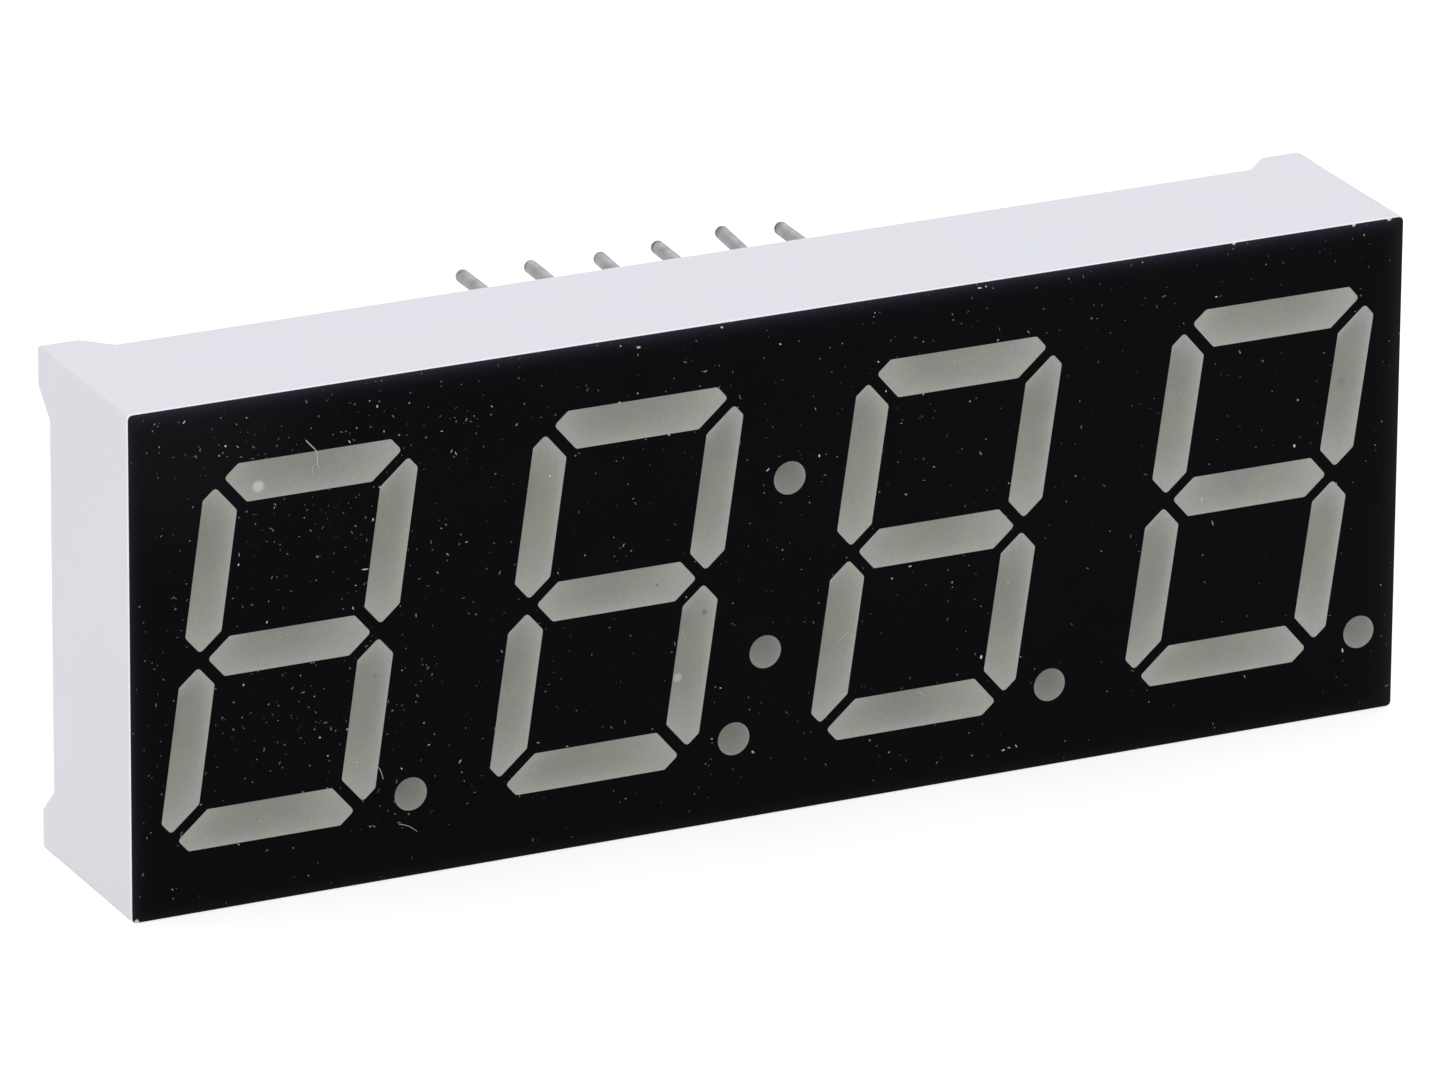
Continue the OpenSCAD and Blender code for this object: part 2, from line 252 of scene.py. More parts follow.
def mark(tree, place, centre, radius, edge):
    """1 inside a ball around a point in millimetres, fading to 0 over its edge."""
    reach = add(tree, "ShaderNodeVectorMath", operation="DISTANCE",
                links={0: place}, inputs={1: centre})
    return add(tree, "ShaderNodeMapRange", interpolation_type="SMOOTHSTEP",
               links={"Value": reach.outputs["Value"]},
               inputs={1: radius + edge, 2: radius, 3: 0, 4: 1}).outputs[0]


def finish_material(tree, colour, bump=None, roughness=None, **values):
    """The surface shader and output of a material: values are the shader's own plain settings."""
    links = {"Base Color": colour}
    if bump is not None:
        links["Normal"] = bump
    if roughness is not None:
        links["Roughness"] = roughness
    plain = {name.replace("_", " "): value for name, value in values.items()}
    surface = add(tree, "ShaderNodeBsdfPrincipled", links=links, inputs=plain)
    add(tree, "ShaderNodeOutputMaterial", links={"Surface": surface.outputs[0]})


# The rear edges are rounded by 0.12 mm, and the outline of the face by 0.03 mm.
outer_round = 0.12 * MM
front_round = 0.03 * MM
sharp = math.radians(40)
shape = merged("reflector_housing")
weight = shape.edges.layers.float.new("bevel_weight_edge")
for edge in shape.edges:
    if len(edge.link_faces) != 2 or edge.calc_face_angle() < sharp:
        continue
    middle = (edge.verts[0].co + edge.verts[1].co) / 2 / MM
    at_rear = middle.y > -1.02
    at_outline = middle.y < -7.9 and (abs(middle.x) > 24.9 or abs(middle.z) > 9.3)
    if at_rear:
        edge[weight] = 1
    elif at_outline:
        edge[weight] = front_round / outer_round
housing = piece_from("reflector_housing_moulding", shape)
rounding = housing.modifiers.new("rounding", "BEVEL")
rounding.limit_method = "WEIGHT"
rounding.width = outer_round
rounding.segments = 3
rounding.use_clamp_overlap = False
bake(housing)
smooth(housing, 32)
shade_flats(housing)

# White pigmented polycarbonate, moulded: a clean cool white with a soft, low shine.
moulding, tree = new_material("white_polycarbonate_moulded")
place = millimetres(tree)
# The pigment drifts slowly, over about 6 mm.
drift = add(tree, "ShaderNodeTexNoise", links={"Vector": place}, inputs={"Scale": 0.17, "Detail": 2})
colour = blend(tree, drift.outputs["Fac"], "#DEDFE2", "#E2E3EA")
# A drip of flux has left a faint yellow stain on the upper side, longer than it is broad.
spread = add(tree, "ShaderNodeVectorMath", operation="MULTIPLY",
             links={0: place}, inputs={1: (0.5, 1.6, 1)})
stain = mark(tree, spread.outputs[0], (-17.0 * 0.5, -5.5 * 1.6, 9.5), 0.05, 0.28)
stain = add(tree, "ShaderNodeMath", operation="MULTIPLY", links={0: stain}, inputs={1: 0.55})
colour = blend(tree, stain.outputs[0], colour, "#DCDAC0")
# Where the sides meet the face, a clean white line is painted along the corner: a painted highlight of
# the rounded edge catching the light.
axes = add(tree, "ShaderNodeSeparateXYZ", links={0: place})
corner = add(tree, "ShaderNodeMapRange", links={"Value": axes.outputs[1]},
             inputs={1: -7.84, 2: -7.90, 3: 0, 4: 1})
colour = blend(tree, corner.outputs[0], colour, "#FAFAFC")
# The eroded tool leaves a fine matt grain, drawn 0.12 mm wide so that it shows.
grain = add(tree, "ShaderNodeTexNoise", links={"Vector": place}, inputs={"Scale": 8, "Detail": 3})
bump = add(tree, "ShaderNodeBump", links={"Height": grain.outputs["Fac"]},
           inputs={"Strength": 0.1, "Distance": 0.01 * MM})
shine = add(tree, "ShaderNodeMapRange", links={"Value": grain.outputs["Fac"]},
            inputs={"To Min": 0.42, "To Max": 0.54})
finish_material(tree, colour, bump.outputs[0], shine.outputs[0], IOR=1.58, Specular_IOR_Level=0.3)
settle(housing, moulding, "housing_white", "reflector_housing")


# ---- Face print ----
# Matt black ink, screen-printed over the whole front around the windows.
# It carries a painted sheen along its edges, and is chipped off at a few places.

# Screen ink, dried matt: nearly black and even, with hardly any shine of its own.
ink, tree = new_material("matt_black_screen_ink")
place = millimetres(tree)
axes = add(tree, "ShaderNodeSeparateXYZ", links={0: place})
cloud = add(tree, "ShaderNodeTexNoise", links={"Vector": place}, inputs={"Scale": 0.35, "Detail": 2})
film = blend(tree, cloud.outputs["Fac"], "#050507", "#08080A")
# The film is painted a little lighter grey around the upper left corner.
haze = mark(tree, place, (-23.5, -8, 9.2), 1, 6)
film = blend(tree, haze, film, "#111114")
# The film is painted lighter towards its edges, bluish along the top: a painted sheen of the light
# along the edges. Each edge has its axis, its place, how far inwards the painted sheen reaches, and its
# tone.
for axis, edge, reach, tone in (
    (2, 9.47, 0.2, "#2D2E3A"),
    (2, -9.48, -0.2, "#191917"),
    (0, -25.13, -0.17, "#24232A"),
    (0, 25.13, 0.3, "#232325"),
):
    inwards = add(tree, "ShaderNodeMath", operation="MULTIPLY_ADD",
                  links={0: axes.outputs[axis]}, inputs={1: 1 / reach, 2: -edge / reach})
    painted_edge_sheen = add(tree, "ShaderNodeMath", operation="EXPONENT", links={0: inwards.outputs[0]})
    film = blend(tree, painted_edge_sheen.outputs[0], film, tone)
# The white moulding shows where the ink has chipped off.
ragged = add(tree, "ShaderNodeTexNoise", links={"Vector": place}, inputs={"Scale": 14, "Detail": 2})
shifted = add(tree, "ShaderNodeVectorMath", operation="MULTIPLY_ADD",
              links={0: ragged.outputs["Color"], 2: place}, inputs={1: (0.12, 0.12, 0.12)})
for centre, radius in (
    ((-24.92, -7.94, -9.37), 0.07),
    ((18.26, -7.94, 9.56), 0.06),
    ((23.16, -7.94, 9.56), 0.07),
    ((24.61, -7.94, 9.56), 0.08),
):
    film = blend(tree, mark(tree, shifted.outputs[0], centre, radius, 0.03), film, "#D8D8DC")
# The screen's weave leaves a faint unevenness, drawn 0.1 mm wide so that it shows.
weave = add(tree, "ShaderNodeTexNoise", links={"Vector": place}, inputs={"Scale": 10, "Detail": 2})
bump = add(tree, "ShaderNodeBump", links={"Height": weave.outputs["Fac"]},
           inputs={"Strength": 0.08, "Distance": 0.005 * MM})
shine = add(tree, "ShaderNodeMapRange", links={"Value": weave.outputs["Fac"]},
            inputs={"To Min": 0.42, "To Max": 0.58})
finish_material(tree, film, bump.outputs[0], shine.outputs[0], IOR=1.5, Specular_IOR_Level=0.03)
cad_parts["face_print"].data.materials[0] = ink


# ---- Segment and dot resin ----
# Grey-tinted epoxy with a diffuser in it, cast into each light cavity level with the print.
# It sinks a hair as it cures. Where a cavity's wall lies close beneath it, a paler tone is painted:
# partly the white wall showing through, partly painted light, placed as the lit walls are seen from a
# little to the upper left.

face_y = -8 * MM
face_net = 0.11 * MM


def on_plane(verts, y):
    """Whether all of the vertices lie on the plane at y."""
    return all(abs(v.co.y - y) < 0.001 * MM for v in verts)


def fine_face(shape, y, spacing):
    """Replaces the flat face on a plane by a fine net of triangles, and returns its vertices."""
    flat = [f for f in shape.faces if on_plane(f.verts, y)]
    faces_back = flat[0].normal.y > 0
    bmesh.ops.delete(shape, geom=flat, context="FACES")
    for edge in [e for e in shape.edges if e.is_boundary and on_plane(e.verts, y)]:
        start = edge.verts[0]
        for left in range(max(1, round(edge.calc_length() / spacing)), 1, -1):
            start = bmesh.utils.edge_split(edge, start, 1 / left)[1]
    rim_edges = [e for e in shape.edges if e.is_boundary and on_plane(e.verts, y)]
    rim = list({v: None for e in rim_edges for v in e.verts})
    number = {v: i for i, v in enumerate(rim)}
    points = [Vector((v.co.x, v.co.z)) for v in rim]
    near = kdtree.KDTree(len(points))
    for i, point in enumerate(points):
        near.insert((point.x, point.y, 0), i)
    near.balance()
    low = [min(p[axis] for p in points) for axis in (0, 1)]
    high = [max(p[axis] for p in points) for axis in (0, 1)]
    for row in range(int((high[1] - low[1]) / spacing) + 1):
        for column in range(int((high[0] - low[0]) / spacing) + 1):
            # Every other row is shifted by half a step, which makes even triangles.
            x = low[0] + (column + 0.25 + 0.5 * (row % 2)) * spacing
            z = low[1] + (row + 0.5) * spacing
            if near.find((x, z, 0))[2] > 0.6 * spacing:
                points.append(Vector((x, z)))
    joined = [(number[e.verts[0]], number[e.verts[1]]) for e in rim_edges]
    spots, _, faces, sources, _, _ = geometry.delaunay_2d_cdt(points, joined, [], 1, 1e-9)
    made = {}
    for face in faces:
        corners = []
        for i in face:
            if i not in made:
                source = sources[i][0] if sources[i] else None
                if source is not None and source < len(rim):
                    made[i] = rim[source]
                else:
                    made[i] = shape.verts.new((spots[i].x, y, spots[i].y))
            corners.append(made[i])
        shape.faces.new(reversed(corners) if faces_back else corners)
    walls = [f for f in shape.faces if len(f.verts) > 4]
    bmesh.ops.triangulate(shape, faces=walls, ngon_method="BEAUTY")
    return list(made.values())


# Painted light: where the lit walls inside a cavity are seen, looking a little from the upper left as
# the light falls, in millimetres sideways for each millimetre of depth.
sight = Vector((0.14, -0.26))
bar_end_slope = 0.53
upright_end_slope = 0.39
round_slope = 0.1
fade_depth = 1.4
# The face sinks over its first 0.35 mm from the rim.
sink = 0.012 * MM
meniscus = 0.35


def resin_piece(node, round_window):
    """A cast block with a fine, slightly sunk face that knows how close the cavity's walls are, as the
    lit walls are seen, for the painted wall light.
    """
    shape = merged(node)
    outline = [e for f in shape.faces if on_plane(f.verts, face_y) for e in f.edges]
    corners = {v for e in outline for v in e.verts}
    centre = Vector((
        (min(v.co.x for v in corners) + max(v.co.x for v in corners)) / 2,
        (min(v.co.z for v in corners) + max(v.co.z for v in corners)) / 2,
    ))
    width = max(v.co.x for v in corners) - min(v.co.x for v in corners)
    lying = width > max(v.co.z for v in corners) - min(v.co.z for v in corners)
    walls = []
    for edge in outline:
        if sum(on_plane(f.verts, face_y) for f in edge.link_faces) != 1:
            continue
        if not round_window and edge.calc_length() < 0.25 * MM:
            continue
        a, b = (Vector((v.co.x, v.co.z)) for v in edge.verts)
        normal = Vector((b.y - a.y, a.x - b.x)).normalized()
        if normal.dot(a - centre) < 0:
            normal = -normal
        ends = abs(normal.x) > 0.35 if lying else abs(normal.y) > 0.35
        slope = 0 if not ends else bar_end_slope if lying else upright_end_slope
        if round_window:
            slope = round_slope
        walls.append((normal, normal.dot(a), normal.dot(sight) + slope))
    layer = shape.verts.layers.float.new("wall")
    for vert in fine_face(shape, face_y, face_net):
        spot = Vector((vert.co.x, vert.co.z))
        gaps = [max((offset - normal.dot(spot)) / MM, 0) for normal, offset, _ in walls]
        hits = [
            math.exp(-gap / reach / fade_depth)
            for gap, (_, _, reach) in zip(gaps, walls) if reach > 0.02
        ]
        vert[layer] = max(hits) if round_window else 1 - math.prod(1 - hit for hit in hits)
        vert.co.y += sink * min(min(gaps) / meniscus, 1) ** 0.5
    piece = piece_from(node + "_resin", shape)
    smooth(piece, 30)
    return piece


def resin_material(name, deep, warm, pale):
    """Cast epoxy: deep and warm are its tones over the board, and pale its tone over a wall, partly the
    wall showing through and partly painted light.
    """
    material, tree = new_material(name)
    place = millimetres(tree)
    wall = add(tree, "ShaderNodeAttribute", attribute_name="wall").outputs["Fac"]
    # The diffuser settles in clouds about 2 mm across.
    cloud = add(tree, "ShaderNodeTexNoise", links={"Vector": place}, inputs={"Scale": 0.5, "Detail": 2})
    patch = add(tree, "ShaderNodeMapRange", links={"Value": cloud.outputs["Fac"]},
                inputs={1: 0.38, 2: 0.62, 3: 0, 4: 1})
    colour = blend(tree, patch.outputs[0], deep, warm)
    # Painted light, partly the white wall showing through: paler where a lit cavity wall lies close
    # beneath.
    colour = blend(tree, wall, colour, pale)
    # Fine grains of diffuser, drawn 0.15 mm wide so that they show.
    grain = add(tree, "ShaderNodeTexNoise", links={"Vector": place}, inputs={"Scale": 6, "Detail": 3})
    shade = add(tree, "ShaderNodeMapRange", links={"Value": grain.outputs["Fac"]},
                inputs={1: 0.3, 2: 0.7, 3: 0.955, 4: 1.045})
    # Painted light: the resin is painted a few parts in a hundred paler towards the lower right,
    # evening out the fall of the lamps' light and the shade near the floor.
    poured = add(tree, "ShaderNodeVectorMath", operation="DOT_PRODUCT",
                 links={0: place}, inputs={1: (0.0014, 0, -0.0037)}).outputs["Value"]
    shade = add(tree, "ShaderNodeMath", operation="ADD", links={0: shade.outputs[0], 1: poured})
    colour = add(tree, "ShaderNodeVectorMath", operation="SCALE",
                 links={0: colour, 3: shade.outputs[0]}).outputs[0]
    # Where the tint isn't fully stirred in, the grey leans to yellow or to blue.
    stirred = add(tree, "ShaderNodeTexNoise",
                  links={"Vector": place}, inputs={"Scale": 1.3, "Detail": 2})
    lean = add(tree, "ShaderNodeMapRange",
               links={"Value": stirred.outputs["Fac"]}, inputs={1: 0.36, 2: 0.64})
    tint = blend(tree, lean.outputs[0], "#FFFFF9", "#FBFEFF")
    colour = add(tree, "ShaderNodeVectorMath", operation="MULTIPLY",
                 links={0: colour, 1: tint}).outputs[0]
    return material, tree, place, colour


def finish_resin(tree, place, colour):
    """The resin's own surface: half-gloss, with a slow ripple from curing."""
    ripple = add(tree, "ShaderNodeTexNoise",
                 links={"Vector": place}, inputs={"Scale": 1.2, "Detail": 2})
    bump = add(tree, "ShaderNodeBump", links={"Height": ripple.outputs["Fac"]},
               inputs={"Strength": 0.15, "Distance": 0.02 * MM})
    finish_material(tree, colour, bump.outputs[0],
                    Roughness=0.34, IOR=1.52, Specular_IOR_Level=0.3)


# Epoxy with a grey tint and a diffuser: a cloudy mid grey, painted paler along the cavity's walls,
# partly the white walls showing through and partly painted light.
segment_epoxy, tree, place, colour = resin_material(
    "grey_diffused_epoxy_segments", "#888883", "#929085", "#ADADA8"
)
# A trapped bubble, and paler and darker clots of diffuser, at their places on the face.
for centre, radius, edge, tone in (
    ((-20.21, -8, 6.13), 0.12, 0.17, "#C8C8C6"),
    ((-3.92, -8, -3.67), 0.10, 0.12, "#B4B6B0"),
    ((-2.88, -8, -1.33), 0.03, 0.14, "#7A7A75"),
    ((-15.75, -8, -1.67), 0.02, 0.10, "#80807B"),
    ((22.75, -8, 3.50), 0.02, 0.24, "#84847F"),
    ((-4.75, -8, 0.00), 0.02, 0.06, "#75756C"),
    ((9.27, -8, -2.13), 0.02, 0.07, "#A2A29B"),
):
    colour = blend(tree, mark(tree, place, centre, radius, edge), colour, tone)
finish_resin(tree, place, colour)

# The same epoxy in the points and the colon, painted darker: the painted shade of their narrower
# cavities.
dot_epoxy, tree, place, colour = resin_material(
    "grey_diffused_epoxy_dots", "#757670", "#78776D", "#8E908C"
)
finish_resin(tree, place, colour)

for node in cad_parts:
    if "_segment_" in node:
        settle(resin_piece(node, False), segment_epoxy, "segment_resin", node)
    elif node.startswith("colon") or node.endswith("decimal_point"):
        settle(resin_piece(node, True), dot_epoxy, "dot_resin", node)


# ---- Circuit board and light sources ----
# The board is glass-epoxy laminate, with a gold-plated copper pad under each chip and wire.
# All of it lies behind the resin, so the CAD's shapes stay and only get their finishes.

# Uncoated glass-epoxy laminate: yellow-green, with the glass cloth's weave just showing.
glass_epoxy, tree = new_material("glass_epoxy_laminate")
place = millimetres(tree)
warp = add(tree, "ShaderNodeTexWave", links={"Vector": place}, bands_direction="X",
           inputs={"Scale": 0.5, "Distortion": 0.6})
weft = add(tree, "ShaderNodeTexWave", links={"Vector": place}, bands_direction="Z",
           inputs={"Scale": 0.5, "Distortion": 0.6})
cloth = add(tree, "ShaderNodeMath", operation="MULTIPLY",
            links={0: warp.outputs["Fac"], 1: weft.outputs["Fac"]})
colour = blend(tree, cloth.outputs[0], "#8F9159", "#A9A875")
bump = add(tree, "ShaderNodeBump", links={"Height": cloth.outputs[0]},
           inputs={"Strength": 0.3, "Distance": 0.01 * MM})
finish_material(tree, colour, bump.outputs[0], Roughness=0.38, IOR=1.55)
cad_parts["circuit_board"].data.materials[0] = glass_epoxy

# Rolled copper with a gold flash: warm and softly bright, with etching grain.
plating, tree = new_material("gold_flashed_copper")
place = millimetres(tree)
grain = add(tree, "ShaderNodeTexNoise", links={"Vector": place}, inputs={"Scale": 12, "Detail": 2})
colour = blend(tree, grain.outputs["Fac"], "#B98F4A", "#DDBB70")
finish_material(tree, colour, Metallic=1, Roughness=0.32)
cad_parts["board_pads"].data.materials[0] = plating

# Gallium arsenide phosphide crystal, sawn: dark amber-red and glassy.
crystal, tree = new_material("sawn_light_chip_crystal")
place = millimetres(tree)
grain = add(tree, "ShaderNodeTexNoise", links={"Vector": place}, inputs={"Scale": 9, "Detail": 2})
colour = blend(tree, grain.outputs["Fac"], "#5A1B12", "#8C3320")
finish_material(tree, colour, Roughness=0.2, IOR=2.0)
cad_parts["led_chips"].data.materials[0] = crystal

# Drawn gold wire: bright yellow, with faint marks along it.
drawn_gold, tree = new_material("drawn_gold_wire")
place = millimetres(tree)
grain = add(tree, "ShaderNodeTexNoise", links={"Vector": place}, inputs={"Scale": 40, "Detail": 1})
colour = blend(tree, grain.outputs["Fac"], "#D9AA45", "#F0CC76")
finish_material(tree, colour, Metallic=1, Roughness=0.22)
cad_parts["bond_wires"].data.materials[0] = drawn_gold


# ---- Leads ----
# Twelve tinned wires in two rows, square where the board and the potting hold them and
# round behind. The upper row has been bent a little in handling.

def new_tree(name, sockets):
    """A Geometry Nodes tree with a geometry input, named inputs and a geometry output."""
    tree = bpy.data.node_groups.new(name, "GeometryNodeTree")
    tree.interface.new_socket("Geometry", in_out="INPUT", socket_type="NodeSocketGeometry")
    for label, kind in sockets.items():
        tree.interface.new_socket(label, in_out="INPUT", socket_type="NodeSocket" + kind)
    tree.interface.new_socket("Geometry", in_out="OUTPUT", socket_type="NodeSocketGeometry")
    return tree, add(tree, "NodeGroupInput").outputs


def end_tree(tree, geometry_socket, material_socket):
    """Ends a tree in Realize Instances and Set Material."""
    real = add(tree, "GeometryNodeRealizeInstances", links={0: geometry_socket})
    done = add(tree, "GeometryNodeSetMaterial", links={0: real.outputs[0], 2: material_socket})
    add(tree, "NodeGroupOutput", links={0: done.outputs[0]})


def grown(name, source, tree, values):
    """Runs a tree on a curve or a mesh with the given inputs, and returns plain mesh."""
    drawn = bpy.data.objects.new(name + "_source", source)
    bpy.context.scene.collection.objects.link(drawn)
    modifier = drawn.modifiers.new(tree.name, "NODES")
    modifier.node_group = tree
    for socket in tree.interface.items_tree:
        if socket.in_out == "INPUT" and socket.name in values:
            modifier[socket.identifier] = values[socket.name]
    shown = drawn.evaluated_get(bpy.context.evaluated_depsgraph_get())
    piece = bpy.data.objects.new(name, bpy.data.meshes.new_from_object(shown))
    bpy.context.scene.collection.objects.link(piece)
    bpy.data.objects.remove(drawn)
    return piece


def line_through(points, kind):
    """A curve through points in millimetres: POLY is straight between them, NURBS is smooth."""
    line = bpy.data.curves.new("line", "CURVE")
    line.dimensions = "3D"
    spline = line.splines.new(kind)
    spline.points.add(len(points) - 1)
    for point, place in zip(spline.points, points):
        point.co = (*(Vector(place) * MM), 1)
    if kind == "NURBS":
        spline.order_u = 3
        spline.use_endpoint_u = True
    return line


def sums(tree, first, *steps):
    """Runs a value through steps of arithmetic, each an operation and a number or a socket."""
    value = first
    for operation, other in steps:
        step = add(tree, "ShaderNodeMath", operation=operation, links={0: value})
        if other is not None and not isinstance(other, (int, float)):
            tree.links.new(other, step.inputs[1])
        elif other is not None:
            step.inputs[1].default_value = other
        value = step.outputs[0]
    return value


lead_tree, given = new_tree("tinned_lead", {
    "Wire radius": "Float", "Tip rounding": "Float", "Shank side": "Float",
    "Shank length": "Float", "Unevenness": "Float", "Material": "Material",
})
# The wire's radius shrinks along a quarter circle over the last stretch before the tip.
along = add(lead_tree, "GeometryNodeSplineParameter").outputs["Length"]
whole = add(lead_tree, "GeometryNodeSplineLength").outputs["Length"]
to_tip = sums(lead_tree, whole, ("SUBTRACT", along), ("DIVIDE", given["Tip rounding"]), ("MINIMUM", 1))
bulge = sums(lead_tree, to_tip, ("SUBTRACT", 1), ("POWER", 2))
bulge = add(lead_tree, "ShaderNodeMath", operation="SUBTRACT", links={1: bulge}, inputs={0: 1})
bulge = sums(lead_tree, bulge.outputs[0], ("MAXIMUM", 0), ("SQRT", None), ("SUBTRACT", 1))
radius = sums(lead_tree, bulge, ("MULTIPLY", given["Tip rounding"]), ("ADD", given["Wire radius"]))
ring = add(lead_tree, "GeometryNodeCurvePrimitiveCircle", inputs={"Resolution": 20, "Radius": 1})
wire = add(lead_tree, "GeometryNodeCurveToMesh",
           links={"Curve": given["Geometry"], "Profile Curve": ring.outputs[0], "Scale": radius},
           inputs={"Fill Caps": True})
dents = add(lead_tree, "ShaderNodeTexNoise", inputs={"Scale": 1800, "Detail": 2})
depth = sums(lead_tree, dents.outputs["Fac"], ("SUBTRACT", 0.5), ("MULTIPLY", given["Unevenness"]))
outward = add(lead_tree, "GeometryNodeInputNormal").outputs[0]
offset = add(lead_tree, "ShaderNodeVectorMath", operation="SCALE", links={0: outward, 3: depth})
wire = add(lead_tree, "GeometryNodeSetPosition", links={0: wire.outputs[0], 3: offset.outputs[0]})
side = given["Shank side"]
size = add(lead_tree, "ShaderNodeCombineXYZ", links={0: side, 1: given["Shank length"], 2: side})
shank = add(lead_tree, "GeometryNodeMeshCube", links={0: size.outputs[0]})
start = add(lead_tree, "GeometryNodeSampleCurve", links={0: given["Geometry"]}, inputs={"Factor": 0})
half = sums(lead_tree, given["Shank length"], ("MULTIPLY", -0.5))
half = add(lead_tree, "ShaderNodeCombineXYZ", links={1: half})
middle = add(lead_tree, "ShaderNodeVectorMath", operation="ADD",
             links={0: start.outputs["Position"], 1: half.outputs[0]})
shank = add(lead_tree, "GeometryNodeTransform", links={0: shank.outputs[0], 1: middle.outputs[0]})
both = add(lead_tree, "GeometryNodeJoinGeometry", links={0: shank.outputs[0]})
lead_tree.links.new(wire.outputs[0], both.inputs[0])
end_tree(lead_tree, both.outputs[0], given["Material"])

# Hot-tinned steel wire: soft grey, with dull patches in the tin and faint drawing lines.
tin, tree = new_material("hot_tinned_steel_wire")
place = millimetres(tree)
stretched = add(tree, "ShaderNodeVectorMath", operation="MULTIPLY",
                links={0: place}, inputs={1: (9, 0.8, 9)})
lines = add(tree, "ShaderNodeTexNoise",
            links={"Vector": stretched.outputs[0]}, inputs={"Scale": 1, "Detail": 3})
patches = add(tree, "ShaderNodeTexNoise", links={"Vector": place}, inputs={"Scale": 2.2, "Detail": 3})
patch = add(tree, "ShaderNodeMapRange",
            links={"Value": patches.outputs["Fac"]}, inputs={1: 0.4, 2: 0.65})
colour = blend(tree, lines.outputs["Fac"], "#A0A0A1", "#ABABAD")
colour = blend(tree, patch.outputs[0], colour, "#98989A")
# The tips are darker over their last few tenths of a millimetre.
axes = add(tree, "ShaderNodeSeparateXYZ", links={0: place})
darker_tips = add(tree, "ShaderNodeMath", operation="MULTIPLY_ADD",
           links={0: patches.outputs["Fac"], 2: axes.outputs[1]}, inputs={1: 0.8})
darker_tips = add(tree, "ShaderNodeMapRange", links={"Value": darker_tips.outputs[0]},
           inputs={1: 5.0, 2: 5.35, 3: 0, 4: 0.8})
colour = blend(tree, darker_tips.outputs[0], colour, "#5C5C60")
dull = add(tree, "ShaderNodeMapRange",
           links={"Value": patches.outputs["Fac"]}, inputs={3: 0.56, 4: 0.68})
bump = add(tree, "ShaderNodeBump", links={"Height": lines.outputs["Fac"]},
           inputs={"Strength": 0.2, "Distance": 0.01 * MM})
finish_material(tree, colour, bump.outputs[0], dull.outputs[0], Metallic=1)

pitch = 2.54
row_height = 7.62
wire_radius = 0.26
tip_rounding = 0.2
wire_start = -1.05
bend_start = 0.8
bend_radius = 1
lead_reach = 5
shank_side = 0.44
shank_length = 2.35
# How far the upper row's tips lean off their lines, in X and Z, from left to right.
upper_leans = ((-0.1, 0.15), (0.1, 0.1), (0.35, 0), (0.1, 0.1), (0.15, 0.3), (0, 0.1))


def lead_path(x, z, lean_x, lean_z):
    """The wire's centre line in millimetres: straight, then a bend, then straight to the tip."""
    off = math.hypot(lean_x, lean_z)
    run = lead_reach - bend_start
    angle = math.atan2(off, run)
    aside = Vector((lean_x, 0, lean_z)) / off if off else Vector((0, 0, 0))
    corner = Vector((x, bend_start, z))
    path = [Vector((x, wire_start, z)), Vector((x, -0.4, z)), Vector((x, 0.2, z)), corner]
    if off:
        for step in (0.25, 0.5, 0.75, 1):
            turned = angle * step
            rise = Vector((0, bend_radius * math.sin(turned), 0))
            path.append(corner + rise + aside * bend_radius * (1 - math.cos(turned)))
    heading = Vector((0, math.cos(angle), 0)) + aside * math.sin(angle)
    last = path[-1]
    reach = (run - bend_radius * math.sin(angle)) / math.cos(angle) if off else run
    for share in (0.25, 0.5, 0.75):
        path.append(last + heading * (reach - tip_rounding) * share)
    for back_off in (1, 0.75, 0.5, 0.3, 0.15, 0.06, 0.015, 0):
        path.append(last + heading * (reach - tip_rounding * back_off))
    return path


for number in range(1, 13):
    upper = number > 6
    column = 12 - number if upper else number - 1
    lean = upper_leans[column] if upper else (0, 0)
    path = lead_path((column - 2.5) * pitch, row_height if upper else -row_height, *lean)
    name = f"lead_{number:02d}"
    piece = grown(name + "_wire", line_through(path, "POLY"), lead_tree, {
        "Wire radius": wire_radius * MM, "Tip rounding": tip_rounding * MM,
        "Shank side": shank_side * MM, "Shank length": shank_length * MM,
        "Unevenness": 0.012 * MM, "Material": tin,
    })
    smooth(piece, 50)
    settle(piece, tin, "lead_tin", name)


# ---- Solder joints ----
# Each lead is soldered into its plated hole from behind, in a low bright cone.
# The potting hides the joints, so the CAD's cones stay.

# Tin solder, cooled in air: silver-grey with a faintly frosted skin.
joint_metal, tree = new_material("air_cooled_tin_solder")
place = millimetres(tree)
frost = add(tree, "ShaderNodeTexNoise", links={"Vector": place}, inputs={"Scale": 5, "Detail": 3})
colour = blend(tree, frost.outputs["Fac"], "#A9AAAD", "#C8C9CB")
bump = add(tree, "ShaderNodeBump", links={"Height": frost.outputs["Fac"]},
           inputs={"Strength": 0.3, "Distance": 0.02 * MM})
finish_material(tree, colour, bump.outputs[0], Metallic=1, Roughness=0.3)
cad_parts["solder_joints"].data.materials[0] = joint_metal


# ---- Rear potting ----
# Milky epoxy poured behind the board. It climbs a little at the walls, the corner posts and the leads
# before it cures, and the board and its joints show faintly through it, with painted shade around each
# joint.

potting_y = -1.15 * MM
board_back_y = -2.4 * MM
joint_hollow = 0.7 * MM
joint_radius = 0.68
potting_net = 0.28 * MM
# How high the epoxy climbs, and over what width, at the walls and around the leads.
wall_climb = 0.11
wall_climb_width = 0.25
lead_climb = 0.24
lead_climb_width = 0.16
lead_lines = [
    Vector(((column - 2.5) * pitch * MM, side * row_height * MM))
    for column in range(6) for side in (-1, 1)
]


def off_lead(place):
    """How far a point is from the nearest lead's centre line."""
    spot = Vector((place.x, place.z))
    return min((spot - line).length for line in lead_lines)


